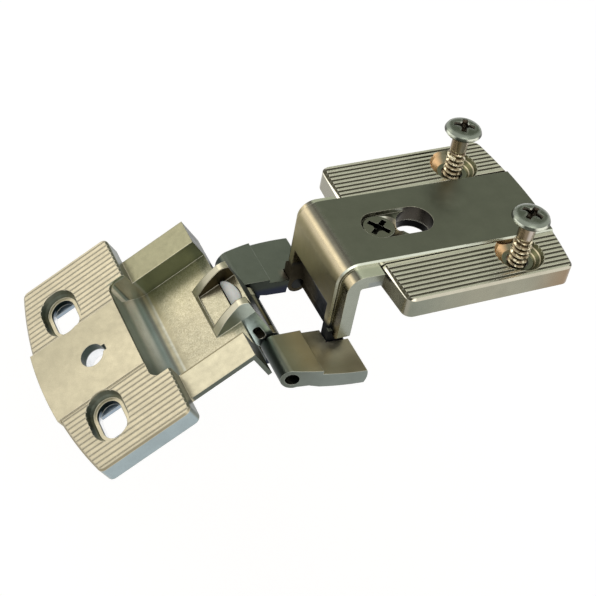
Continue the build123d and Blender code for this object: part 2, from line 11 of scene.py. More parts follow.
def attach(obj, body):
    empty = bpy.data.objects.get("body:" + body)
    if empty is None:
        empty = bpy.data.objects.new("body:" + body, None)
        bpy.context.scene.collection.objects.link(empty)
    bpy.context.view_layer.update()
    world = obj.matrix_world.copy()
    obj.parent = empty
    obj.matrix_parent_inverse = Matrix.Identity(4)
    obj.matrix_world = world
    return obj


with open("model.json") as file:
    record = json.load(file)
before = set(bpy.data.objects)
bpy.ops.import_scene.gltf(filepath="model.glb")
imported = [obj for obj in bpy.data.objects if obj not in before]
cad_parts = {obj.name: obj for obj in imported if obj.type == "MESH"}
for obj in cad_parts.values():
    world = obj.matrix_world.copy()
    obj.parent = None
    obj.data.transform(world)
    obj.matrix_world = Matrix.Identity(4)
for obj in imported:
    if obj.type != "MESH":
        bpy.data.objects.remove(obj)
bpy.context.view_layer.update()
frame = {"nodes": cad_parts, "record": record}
NODES = frame["nodes"]

# The door leaf's own frame at rest: its origin lies between the slots, on the flange's face.
LEAF_ORIGIN = (-0.096936, 0.0, -0.018681)
LEAF_TILT = math.radians(35.2)
MM = 0.001

# Places in millimetres: the fixing screws' distance from the middle along Y, and the release hole
# and the clamp screw along X.
FIXING_SCREW_Y = 16.0
RELEASE_HOLE_X = -19.0
CLAMP_SCREW_X = -28.3

# In metres. The door leaf's lowest place at a joint's limit is -0.0814.
FLOOR_HEIGHT = -0.083

# How far a casting's painted crevice shade reaches, and how high its grain stands, in metres.
CREVICE_REACH = 0.003
GRAIN_HEIGHT = 0.000004

# The fixing screws' threads, in millimetres: the crest's radius, the pitch, the heights that they
# run between, and the radius of the shank that they stand on.
THREAD_CREST, THREAD_PITCH = 2.28, 1.35
THREAD_TOP, THREAD_BOTTOM = 10.3, -4.9
SHANK_RADIUS = 1.7


# ---- node-tree helpers ------------------------------------------------------------------
class Tree:
    """A material's node tree with short calls for the nodes used here."""

    def __init__(self, name):
        self.material = bpy.data.materials.new(name)
        self.material.use_nodes = True
        self.tree = self.material.node_tree
        self.tree.nodes.clear()
        self.out = self.node("ShaderNodeOutputMaterial")
        coords = self.node("ShaderNodeTexCoord")
        self.place = coords.outputs["Object"]
        self.facing = coords.outputs["Normal"]

    def node(self, kind, **settings):
        made = self.tree.nodes.new(kind)
        for key, value in settings.items():
            setattr(made, key, value)
        return made

    def put(self, socket, value):
        if isinstance(value, bpy.types.NodeSocket):
            self.tree.links.new(value, socket)
        elif value is not None:
            socket.default_value = value

    def math(self, operation, a, b=None, clamp=False):
        made = self.node("ShaderNodeMath", operation=operation, use_clamp=clamp)
        for socket, value in zip(made.inputs, (a, b)):
            self.put(socket, value)
        return made.outputs[0]

    def span(self, value, source, target, **settings):
        """A value carried from a rising range to another range."""
        made = self.node("ShaderNodeMapRange", **settings)
        self.put(made.inputs["Value"], value)
        for name, number in zip(("From Min", "From Max", "To Min", "To Max"), (*source, *target)):
            made.inputs[name].default_value = number
        return made.outputs["Result"]

    def distance(self, a, b):
        """Distance from zero of a place given by two components."""
        squares = [self.math("POWER", value, 2.0) for value in (a, b)]
        return self.math("POWER", self.math("ADD", *squares), 0.5)

    def dot(self, vector, axis):
        made = self.node("ShaderNodeVectorMath", operation="DOT_PRODUCT")
        self.put(made.inputs[0], vector)
        self.put(made.inputs[1], axis)
        return made.outputs["Value"]

    def into_leaf(self):
        """Place and normal in the door leaf's own frame."""
        for name in ("place", "facing"):
            shift = self.node("ShaderNodeVectorMath", operation="SUBTRACT")
            self.put(shift.inputs[0], getattr(self, name))
            self.put(shift.inputs[1], LEAF_ORIGIN if name == "place" else (0, 0, 0))
            turn = self.node("ShaderNodeVectorRotate", rotation_type="Y_AXIS")
            self.put(turn.inputs["Vector"], shift.outputs[0])
            self.put(turn.inputs["Angle"], LEAF_TILT)
            setattr(self, name, turn.outputs[0])

    def axis(self, which, vector=None):
        """One component of the place, in millimetres, or of another vector."""
        made = self.node("ShaderNodeSeparateXYZ")
        self.put(made.inputs[0], self.place if vector is None else vector)
        value = made.outputs["XYZ".index(which)]
        return self.math("MULTIPLY", value, 1000.0) if vector is None else value

    def step(self, value, low, high):
        """0 below low, 1 above high, smooth between; falls if low is above high."""
        source, target = ((low, high), (0.0, 1.0)) if low < high else ((high, low), (1.0, 0.0))
        return self.span(value, source, target, interpolation_type="SMOOTHSTEP")

    def between(self, value, low, high, soft):
        """1 between two places, with soft ends."""
        return self.both(self.step(value, low - soft, low + soft),
                         self.step(value, high + soft, high - soft))

    def fold(self, operation, masks):
        """The masks joined one after another by an operation."""
        result = masks[0]
        for mask in masks[1:]:
            result = self.math(operation, result, mask)
        return result

    def both(self, *masks):
        """Where all the masks are, or a mask times a share."""
        return self.fold("MULTIPLY", masks)

    def either(self, *masks):
        """Where any of the masks is."""
        return self.fold("MAXIMUM", masks)

    def inverse(self, mask):
        return self.math("SUBTRACT", 1.0, mask, clamp=True)

    def mix(self, factor, first, second):
        made = self.node("ShaderNodeMix", data_type="RGBA", clamp_factor=True)
        self.put(made.inputs["Factor"], factor)
        self.put(made.inputs["A"], (*first, 1) if isinstance(first, tuple) else first)
        self.put(made.inputs["B"], (*second, 1) if isinstance(second, tuple) else second)
        return made.outputs["Result"]

    def scale(self, colour, factor):
        """A colour multiplied by a number."""
        made = self.node("ShaderNodeVectorMath", operation="SCALE")
        self.put(made.inputs[0], colour)
        self.put(made.inputs["Scale"], factor)
        return made.outputs[0]

    def noise(self, scale, detail=2.0, rough=0.5):
        """Noise over the place, its scale per metre."""
        made = self.node("ShaderNodeTexNoise")
        self.put(made.inputs["Vector"], self.place)
        made.inputs["Scale"].default_value = scale
        made.inputs["Detail"].default_value = detail
        made.inputs["Roughness"].default_value = rough
        return made.outputs["Fac"]

    def swing(self, value, low, high):
        """A noise value spread from low to high."""
        return self.span(value, (0.3, 0.7), (low, high))

    def paint(self, colour, *layers):
        """Lay colours over one another, each through its mask."""
        for mask, new in layers:
            colour = self.mix(mask, colour, new)
        return colour

    def hollow(self, distance, floor):
        """Painted shade: 1 on open surfaces, falling to a floor value deep in crevices."""
        made = self.node("ShaderNodeAmbientOcclusion", samples=8)
        made.inputs["Distance"].default_value = distance
        return self.span(made.outputs["AO"], (0.15, 0.75), (floor, 1.0))

    def edges(self, radius):
        """Normal rounded over the edges, and a mask of those edges."""
        bevel = self.node("ShaderNodeBevel", samples=6)
        self.put(bevel.inputs["Radius"], radius)
        flat = self.node("ShaderNodeNewGeometry").outputs["Normal"]
        same = self.dot(bevel.outputs[0], flat)
        return bevel.outputs[0], self.step(same, 0.999, 0.9)

    def bump(self, height, distance, normal):
        made = self.node("ShaderNodeBump")
        made.inputs["Strength"].default_value = 1.0
        made.inputs["Distance"].default_value = distance
        self.put(made.inputs["Height"], height)
        self.put(made.inputs["Normal"], normal)
        return made.outputs[0]

    def finish(self, colour, rough, normal, metallic=1.0, **fixed):
        """The finished material; fixed settings are named as the shader's sockets."""
        shader = self.node("ShaderNodeBsdfPrincipled")
        self.put(shader.inputs["Base Color"], colour)
        self.put(shader.inputs["Roughness"], rough)
        shader.inputs["Metallic"].default_value = metallic
        self.put(shader.inputs["Normal"], normal)
        for name, value in fixed.items():
            shader.inputs[name.replace("_", " ")].default_value = value
        self.tree.links.new(shader.outputs[0], self.out.inputs["Surface"])
        return self.material


def casting(tree, colour, rough, grain, edge_colour, edge, edge_sheen=0.6, relief=1.0, pits=0.0, shade=0.45,
            open_to=None, dark=None):
    """Plated casting: soft mottling, fine grain, sparse pits, painted highlights on the edges and painted
    shade in crevices.

    open_to masks surfaces that the painted crevice shade leaves alone, and dark masks those
    without painted edge highlights.
    """
    mottle = tree.swing(tree.noise(230, 4, 0.6), 0.93, 1.06)
    fine = tree.noise(5200, 2, 0.6)
    colour = tree.scale(colour, tree.math("MULTIPLY", mottle, tree.swing(fine, 1 - grain, 1 + grain)))
    # Painted shade: the colour darkens in crevices.
    hollow = tree.hollow(CREVICE_REACH, shade)
    if open_to is not None:
        hollow = tree.either(hollow, open_to)
    colour = tree.scale(colour, hollow)
    normal, edged = tree.edges(edge)
    # Painted highlight: the edges take the lighter edge colour, in patches.
    edge_sheen_patches = tree.swing(tree.noise(900, 3, 0.6), edge_sheen * 0.6, edge_sheen)
    if dark is not None:
        edge_sheen_patches = tree.both(edge_sheen_patches, tree.inverse(dark))
    colour = tree.mix(tree.math("MULTIPLY", edged, edge_sheen_patches), colour, edge_colour)
    height = tree.math("ADD", fine, tree.math("MULTIPLY", tree.noise(1500, 3, 0.6), 1.5))
    if pits:
        dents = tree.step(tree.noise(2600, 1, 0.4), 0.70, 0.76)
        height = tree.math("SUBTRACT", height, tree.math("MULTIPLY", dents, pits * 2.0))
    rough = tree.math("MULTIPLY", rough, tree.swing(tree.noise(700, 3), 0.88, 1.14))
    return tree.finish(colour, rough, tree.bump(height, GRAIN_HEIGHT * relief, normal))


# ---- finishes ---------------------------------------------------------------------------
# Colours are linear. Masks come from the place in millimetres, in the part's frame or the leaf's
# own, and from the direction that the surface faces. Many layers paint in the light and dark that
# the photograph's reflections give these surfaces. They stay put when the view or pose changes.
def plate_finish():
    """Ribbed plate: bright ribs, painted shade in grooves, painted reflections and shade in the fixing
    holes' sinks.
    """
    tree = Tree("ribbed_plate")
    x, y, z = tree.axis("X"), tree.axis("Y"), tree.axis("Z")
    side = tree.math("ABSOLUTE", y)
    up, right, front = (tree.axis(a, tree.facing) for a in ("Z", "X", "Y"))
    front = tree.math("MULTIPLY", front, -1.0)
    flat = tree.step(up, 0.85, 0.95)
    wing = tree.both(tree.step(up, 0.3, 0.6), tree.step(side, 11.4, 11.6), tree.step(z, 4.6, 4.75))
    inside = tree.both(tree.step(side, 22.95, 22.85), tree.step(x, -32.4, -32.2))
    groove = tree.both(wing, inside, tree.step(z, 5.198, 5.13))
    rounded = tree.both(tree.step(up, 0.2, 0.4), tree.step(up, 0.97, 0.9), tree.step(side, 22.75, 22.9))
    from_hole = tree.distance(x, tree.math("SUBTRACT", side, FIXING_SCREW_Y))
    sink = tree.both(tree.step(from_hole, 6.1, 5.9), tree.step(z, 5.19, 5.15))
    arcs = tree.math("SINE", tree.math("MULTIPLY", from_hole, 6.5))
    arcs = tree.both(sink, tree.step(arcs, 0.55, 0.95), tree.step(right, 0.0, -0.4))
    face = tree.step(front, 0.6, 0.9)
    colour = tree.paint(
        (0.30, 0.29, 0.23),
        (tree.step(up, 0.6, 0.9), (0.98, 0.95, 0.79)),
        # Painted reflections on the face towards -Y: greener towards -X, browner towards +X.
        (face, (0.320, 0.312, 0.237)),
        (tree.both(face, tree.step(x, -14.0, -32.0)), (0.235, 0.250, 0.198)),
        (tree.both(face, tree.step(x, -2.0, 10.0)), (0.290, 0.212, 0.135)),
        # Painted highlight on the chamfer.
        (tree.both(tree.step(front, 0.3, 0.6), tree.step(up, 0.3, 0.6)), (0.66, 0.62, 0.49)),
        # Painted shade in the grooves between the ribs.
        (groove, (0.050, 0.048, 0.030)),
        # Painted highlight on the rounded outer edge.
        (rounded, (0.59, 0.555, 0.435)),
        # Painted reflections and shade in the sinks: orange where they face +X, dark elsewhere, light arcs
        # where they face -X.
        (sink, (0.20, 0.19, 0.12)),
        (tree.both(sink, tree.step(right, 0.0, 0.4), tree.step(front, -0.5, -0.1)), (0.92, 0.58, 0.29)),
        (tree.both(sink, tree.step(right, 0.0, 0.3), tree.step(front, -0.2, -0.5)), (0.14, 0.135, 0.085)),
        (tree.both(sink, tree.step(right, 0.0, -0.4)), (0.105, 0.105, 0.052)),
        (arcs, (0.42, 0.37, 0.25)),
        (tree.both(sink, flat), (0.24, 0.25, 0.18)),
        # Painted shade on the walls of the fixing holes and the release hole.
        (tree.both(tree.step(up, 0.2, -0.2), tree.step(from_hole, 3.2, 2.9)), (0.05, 0.045, 0.03)),
        (tree.both(tree.step(up, 0.3, 0.1), tree.step(side, 6.0, 5.0), tree.between(x, -24.0, -14.0, 0.2)),
         (0.004, 0.004, 0.004)),
        # Painted reflection: the flat below the release hole is bluish grey.
        (tree.both(flat, tree.step(side, 11.0, 10.5), tree.between(x, -24.0, -14.0, 0.2)),
         (0.30, 0.32, 0.33)),
    )
    return casting(tree, colour, 0.26, 0.03, edge_colour=(0.70, 0.67, 0.55), edge=0.00026, edge_sheen=0.5,
                   shade=0.7)


def arm_finish():
    """Cranked arm: its top, bend and foot, with the band's chamfers and the clamp screw's track."""
    tree = Tree("cranked_arm")
    x, y, z = tree.axis("X"), tree.axis("Y"), tree.axis("Z")
    side = tree.math("ABSOLUTE", y)
    up = tree.axis("Z", tree.facing)
    front = tree.math("MULTIPLY", tree.axis("X", tree.facing), -1.0)
    near = tree.step(tree.axis("Y", tree.facing), -0.6, -0.9)
    flank = tree.math("ABSOLUTE", tree.axis("Y", tree.facing))
    from_hole = tree.distance(tree.math("SUBTRACT", x, RELEASE_HOLE_X), y)
    chamfer = tree.both(tree.between(flank, 0.60, 0.85, 0.04), tree.between(side, 10.6, 11.15, 0.05),
                        tree.step(z, -9.0, -8.0))
    leg = tree.both(tree.step(x, -38.0, -38.5), tree.step(z, 2.5, 1.5))
    pocket = tree.both(tree.step(x, -36.0, -37.0), tree.step(side, 9.2, 9.0), tree.step(z, -5.75, -5.85))
    foot = tree.both(tree.step(x, -36.0, -37.0), tree.step(z, -9.6, -11.6), tree.step(side, 12.3, 12.1))
    step_front = tree.both(tree.step(front, 0.85, 0.95), tree.step(side, 11.0, 11.2))
    ledge = tree.both(tree.step(up, 0.9, 0.98), tree.step(side, 11.0, 11.2), tree.step(z, 3.5, 4.0))
    rim = tree.both(tree.step(flank, 0.85, 0.95), tree.between(side, 10.9, 11.2, 0.05),
                    tree.step(z, 4.9, 5.1))
    beyond_screw = tree.math("MINIMUM", tree.math("SUBTRACT", x, CLAMP_SCREW_X), 0.0)
    from_track = tree.distance(beyond_screw, y)
    track = tree.both(tree.step(from_track, 4.32, 4.24), tree.step(x, -22.8, -23.2))
    by_screw = tree.both(tree.step(flank, 0.6, 0.9), tree.between(x, -7.0, 6.0, 0.4),
                         tree.step(z, 5.4, 5.1))
    # Not a mark on the real arm: a lighter spot that offsets the far screw's dark reflection.
    from_reflection = tree.distance(tree.math("ADD", x, 7.2), tree.math("SUBTRACT", y, 4.6))
    colour = tree.paint(
        (0.40, 0.40, 0.33),
        (tree.step(up, 0.93, 0.99), (0.222, 0.232, 0.178)),
        (tree.both(tree.step(up, 0.93, 0.99), tree.step(from_reflection, 5.0, 0.8)), (0.305, 0.318, 0.245)),
        # Painted highlight on the ledges.
        (ledge, (0.80, 0.82, 0.65)),
        # Painted reflections across the bend: dark, then a bright highlight, then brown on the leg's front.
        (tree.step(front, 0.18, 0.40), (0.115, 0.110, 0.084)),
        (tree.step(front, 0.52, 0.76), (0.60, 0.51, 0.33)),
        (tree.step(front, 0.80, 0.95), (0.285, 0.250, 0.140)),
        (tree.both(tree.step(front, 0.9, 0.97), tree.step(z, 3.0, -2.0)), (0.290, 0.250, 0.130)),
        # Painted shade low on the step's front.
        (tree.both(step_front, tree.step(z, 0.0, -6.0)), (0.085, 0.070, 0.034)),
        (near, (0.300, 0.318, 0.265)),
        (tree.both(near, tree.step(z, 4.2, 3.2), tree.step(x, -37.6, -37.2)), (0.260, 0.280, 0.265)),
        (tree.both(tree.step(flank, 0.6, 0.9), tree.step(side, 11.3, 11.1)), (0.215, 0.222, 0.180)),
        # Painted highlight on the rim.
        (rim, (0.62, 0.63, 0.53)),
        # Painted shade in the clamp screw's track, lighter on its walls.
        (tree.both(track, tree.step(up, 0.9, 0.95)), (0.105, 0.108, 0.080)),
        (tree.both(track, tree.step(up, 0.5, 0.2)), (0.30, 0.28, 0.20)),
        # Painted highlight on the band's chamfers, darker where they face down.
        (tree.both(chamfer, tree.step(up, 0.30, 0.55)), (0.68, 0.71, 0.58)),
        (tree.both(chamfer, tree.step(up, 0.30, 0.10)), (0.36, 0.36, 0.28)),
        # Painted reflection: orange on the flanks beside the fixing screws.
        (by_screw, (0.72, 0.49, 0.29)),
        # Painted shade in the pocket, on the foot and in the release hole.
        (pocket, (0.125, 0.105, 0.055)),
        (tree.both(pocket, tree.step(z, -9.4, -10.6)), (0.022, 0.024, 0.026)),
        (tree.both(foot, tree.step(up, 0.95, 0.6)), (0.022, 0.024, 0.026)),
        (tree.both(foot, tree.step(y, 0.0, 4.0)), (0.060, 0.050, 0.030)),
        (tree.both(tree.step(from_hole, 4.5, 4.35), tree.step(up, 0.3, 0.1)), (0.058, 0.052, 0.043)),
        (tree.step(up, -0.3, -0.7), (0.25, 0.25, 0.22)),
    )
    dim = tree.either(tree.both(tree.step(x, -36.0, -37.0), tree.step(z, -5.0, -6.5)),
                      tree.both(step_front, tree.step(z, 3.0, 0.0)))
    lit = tree.either(ledge, by_screw, rim, tree.both(leg, tree.step(z, -11.0, -9.0)))
    rough = tree.math("ADD", 0.27, tree.both(foot, tree.step(z, -9.4, -10.6), 0.45))
    rough = tree.math("ADD", rough, tree.both(tree.step(up, 0.97, 0.995), tree.step(z, 3.0, 4.0), 0.06))
    rough = tree.math("ADD", rough,
                      tree.both(tree.step(front, 0.85, 0.97), tree.step(side, 11.1, 10.9), 0.16))
    return casting(tree, colour, rough, 0.025, edge_colour=(0.62, 0.58, 0.44), edge=0.0002, edge_sheen=0.5,
                   relief=0.5, open_to=tree.both(lit, 0.85), dark=dim)


def yoke_finish():
    """Link: a greyer casting; painted highlights on its top, painted shade on its nose and cheeks' insides.
    """
    tree = Tree("link_yoke")
    x, y, z = tree.axis("X"), tree.axis("Y"), tree.axis("Z")
    up = tree.axis("Z", tree.facing)
    nose = tree.math("MULTIPLY", tree.axis("X", tree.facing), -1.0)
    facing_y = tree.axis("Y", tree.facing)
    flank = tree.math("ABSOLUTE", facing_y)
    outer_near = tree.both(tree.step(facing_y, -0.6, -0.9), tree.step(y, -18.0, -18.6))
    inner = tree.both(tree.step(tree.math("ABSOLUTE", y), 16.6, 16.2), tree.step(flank, 0.6, 0.9))
    near = tree.step(y, 2.0, -2.0)
    lid = tree.both(near, tree.step(up, 0.6, 0.9))
    colour = tree.paint(
        (0.215, 0.238, 0.198),
        (lid, (0.44, 0.40, 0.275)),
        # Painted highlight on the near top, towards the leg.
        (tree.both(lid, tree.step(x, -50.0, -44.0), tree.step(y, -20.5, -13.5)), (0.82, 0.77, 0.58)),
        (tree.both(lid, tree.step(x, -50.0, -56.0)), (0.30, 0.30, 0.215)),
        (tree.step(flank, 0.6, 0.9), (0.178, 0.196, 0.166)),
        (outer_near, (0.200, 0.225, 0.200)),
        # Painted shade on the nose, darker where it faces further forward.
        (tree.step(nose, 0.12, 0.42), (0.095, 0.105, 0.082)),
        (tree.step(nose, 0.45, 0.75), (0.040, 0.050, 0.044)),
        # Painted highlight, pinkish, on the far cheek's top beside the leg.
        (tree.both(tree.step(up, 0.5, 0.8), tree.between(x, -44.6, -42.2, 1.2),
                   tree.between(y, 9.0, 11.6, 1.3)),
         (0.46, 0.38, 0.29)),
        # Painted shade on the insides of the cheeks, bluish low down.
        (inner, (0.030, 0.036, 0.028)),
        (tree.both(inner, tree.step(z, -15.6, -17.4)), (0.014, 0.018, 0.034)),
    )
    return casting(tree, colour, 0.36, 0.03, edge_colour=(0.55, 0.58, 0.50), edge=0.00022, edge_sheen=0.6,
                   relief=0.6, dark=tree.either(inner, tree.step(nose, 0.3, 0.6)))


def leaf_finish():
    """Door leaf: its masks run along it, across it and into its depth, from LEAF_ORIGIN."""
    tree = Tree("door_leaf")
    tree.into_leaf()
    along, across, depth = tree.axis("X"), tree.axis("Y"), tree.axis("Z")
    side = tree.math("ABSOLUTE", across)
    up, pivotward = tree.axis("Z", tree.facing), tree.axis("X", tree.facing)
    outward = tree.axis("Y", tree.facing)
    flank = tree.math("ABSOLUTE", outward)
    top = tree.step(up, 0.5, 0.85)
    wall = tree.step(up, 0.5, 0.2)
    flange = tree.step(along, 16.95, 16.85)
    groove = tree.both(tree.step(depth, -0.03, -0.16), tree.step(depth, -0.5, -0.4),
                       tree.step(side, 10.1, 10.3), flange)
    near_sink = tree.both(flange, tree.step(side, 26.4, 26.2), tree.step(side, 8.8, 9.2),
                          tree.step(along, -8, -7), tree.step(along, 8.5, 8.3))
    sunk = tree.both(tree.step(depth, -0.12, -0.3), near_sink)
    peg = tree.both(flange, tree.step(side, 4.2, 4.0), tree.between(along, -1.5, 7.5, 0.2), wall)
    beyond = tree.step(along, 16.9, 17.5)
    floor = tree.both(top, beyond, tree.step(side, 14.95, 14.75))
    scoop = tree.both(tree.step(along, 17.9, 16.5), tree.step(along, 12.0, 12.2),
                      tree.step(depth, -0.6, -1.4), tree.step(side, 14.95, 14.75))
    scoop_foot = tree.both(tree.between(along, 14.5, 19.5, 0.5), tree.step(side, 14.9, 14.7),
                           tree.step(depth, -7.0, -8.0))
    ears = tree.both(tree.step(side, 7.9, 7.7), tree.step(along, 27.0, 27.4))
    outer_ear = tree.both(ears, tree.step(outward, -0.5, -0.85))
    inner_ear = tree.both(ears, tree.step(flank, 0.6, 0.9), tree.step(side, 5.4, 5.2))
    ramp = tree.both(ears, tree.step(side, 4.95, 4.8), tree.step(up, 0.4, 0.6))
    end_face = tree.both(tree.step(pivotward, 0.5, 0.85), tree.step(along, 31.0, 31.4))
    rail_side = tree.both(wall, tree.step(outward, -0.5, -0.8), tree.between(side, 15.5, 24.0, 0.3), beyond)
    colour = tree.paint(
        (0.480, 0.432, 0.305),
        (tree.both(top, flange, tree.step(side, 10.0, 9.6), tree.step(across, -8.0, 4.0)),
         (0.390, 0.355, 0.248)),
        (tree.both(top, flange, tree.step(side, 10.0, 9.6), tree.step(across, 4.0, -8.0)),
         (0.455, 0.413, 0.290)),
        (tree.both(top, beyond), (0.345, 0.312, 0.208)),
        (tree.both(floor, tree.step(across, 5.0, -6.0)), (0.285, 0.262, 0.178)),
        (tree.both(top, beyond, tree.step(across, 0.0, 14.0)), (0.37, 0.345, 0.215)),
        (tree.both(top, beyond, tree.step(side, 14.9, 15.1), tree.step(across, 0.0, 14.0)),
         (0.25, 0.24, 0.152)),
        (tree.both(top, beyond, tree.step(across, -8.0, -14.0)), (0.46, 0.425, 0.305)),
        (tree.both(top, beyond, tree.between(across, -15.15, -14.7, 0.05)), (0.20, 0.175, 0.105)),
        (tree.both(floor, tree.step(along, 30.5, 32.0), tree.step(side, 6.5, 8.0)), (0.20, 0.20, 0.14)),
        # Painted shade in the flange's grooves.
        (groove, (0.31, 0.27, 0.18)),
        # Painted reflection: the outer side towards -Y is bluish.
        (tree.both(wall, tree.step(outward, -0.5, -0.8), tree.step(side, 25.5, 26.5)),
         (0.345, 0.415, 0.430)),
        (tree.both(wall, tree.step(outward, 0.5, 0.8)), (0.34, 0.35, 0.30)),
        # Painted shade on the rail's inner wall.
        (rail_side, (0.105, 0.120, 0.098)),
        (tree.both(tree.step(outward, -0.5, -0.8), tree.between(across, 14.0, 16.0, 0.2),
                   tree.step(along, 12, 13)),
         (0.20, 0.225, 0.150)),
        # Painted shade on faces towards the pivots, darkest on the end face.
        (tree.step(pivotward, 0.5, 0.85), (0.17, 0.19, 0.165)),
        (end_face, (0.035, 0.045, 0.036)),
        # Painted reflections in the scoop: near-white below its lip, then lighter and darker bands down to
        # the floor and across it.
        (scoop, (0.48, 0.54, 0.48)),
        (tree.both(scoop, tree.step(pivotward, 0.985, 0.87)), (1.0, 0.96, 0.88)),
        (tree.both(scoop, tree.step(pivotward, 0.74, 0.54)), (0.29, 0.345, 0.315)),
        (tree.both(scoop, tree.step(pivotward, 0.50, 0.34)), (0.17, 0.18, 0.150)),
        (tree.both(scoop, tree.step(pivotward, 0.34, 0.20)), (0.34, 0.315, 0.215)),
        (tree.both(scoop, tree.step(across, 8.0, -10.0), tree.step(pivotward, 0.3, 0.7), 0.7),
         (0.40, 0.45, 0.42)),
        (tree.both(scoop, tree.step(across, -3.0, -14.0), tree.step(pivotward, 0.3, 0.5), 0.8),
         (0.20, 0.225, 0.205)),
        # Painted reflections and shade on the ears: light outer faces, brighter low down, dark inner faces,
        # bright tops.
        (outer_ear, (0.38, 0.45, 0.40)),
        (tree.both(outer_ear, tree.step(depth, -10.0, -14.0)), (0.72, 0.85, 0.78)),
        (inner_ear, (0.060, 0.048, 0.025)),
        (ramp, (0.30, 0.28, 0.19)),
        (tree.both(ears, tree.step(side, 5.0, 5.2), tree.step(up, 0.15, 0.4)), (0.62, 0.58, 0.43)),
        # Painted reflections and shade in the slots: dark bands, a near-white wall where they open through,
        # bluish lips.
        (tree.both(sunk, tree.step(up, 0.95, 0.85)), (0.34, 0.31, 0.225)),
        (tree.both(sunk, tree.step(up, 0.95, 0.85), tree.step(pivotward, 0.35, 0.75)),
         (0.10, 0.092, 0.065)),
        (tree.both(sunk, wall), (0.155, 0.200, 0.170)),
        (tree.both(sunk, wall, tree.between(depth, -1.9, -1.2, 0.2)), (0.36, 0.40, 0.32)),
        (tree.both(sunk, wall, tree.step(depth, -2.1, -2.3)), (0.012, 0.018, 0.015)),
        (tree.both(sunk, wall, tree.step(depth, -2.9, -3.2), tree.step(pivotward, 0.5, 0.9)),
         (0.98, 0.99, 1.0)),
        (tree.both(sunk, wall, tree.step(depth, -3.75, -3.85), tree.step(pivotward, 0.5, 0.2)),
         (0.34, 0.41, 0.48)),
        (tree.both(sunk, tree.step(up, 0.85, 0.95), tree.step(depth, -3.2, -3.6)), (0.21, 0.27, 0.33)),
        # Painted shade and reflection in the peg hole: dark near its top, near-white deeper down.
        (peg, (0.050, 0.066, 0.058)),
        (tree.both(peg, tree.step(depth, -1.9, -2.3)), (0.92, 0.94, 0.96)),
        (tree.step(up, -0.3, -0.7), (0.34, 0.33, 0.28)),
    )
    sand = tree.both(tree.step(depth, -9.4, -9.9), tree.step(along, 17.5, 20), tree.step(up, 0.8, 0.9))
    dust = tree.swing(tree.noise(3600, 2, 0.6), 0.0, 1.0)
    colour = tree.mix(tree.both(sand, dust, 0.32), colour, (0.88, 0.82, 0.62))
    colour = tree.mix(tree.both(sand, tree.step(tree.noise(3100, 1, 0.5), 0.45, 0.36), 0.35), colour,
                      (0.24, 0.21, 0.13))
    # Painted shadow on the channel floor beside the scoop, in blotches.
    shadow = tree.both(sand, tree.step(along, 23.5, 18.0), tree.step(across, -6.0, 10.0),
                       tree.step(side, 15, 14.8))
    shadow_blotches = tree.swing(tree.noise(2300, 3, 0.7), 0.2, 1.0)
    colour = tree.mix(tree.both(shadow, shadow_blotches, 0.75), colour, (0.150, 0.150, 0.105))
    rough = tree.math("ADD", 0.34, tree.both(scoop, 0.10))
    deep = tree.either(tree.both(tree.step(depth, -1.4, -2.1), tree.either(near_sink, peg)), scoop)
    edge = tree.math("MULTIPLY", 0.00024, tree.inverse(scoop_foot))
    dark = tree.either(rail_side, end_face, scoop_foot)
    return casting(tree, colour, rough, 0.06, edge_colour=(0.78, 0.74, 0.60), edge=edge, edge_sheen=0.6, pits=1.0,
                   relief=1.2, open_to=deep, dark=dark)


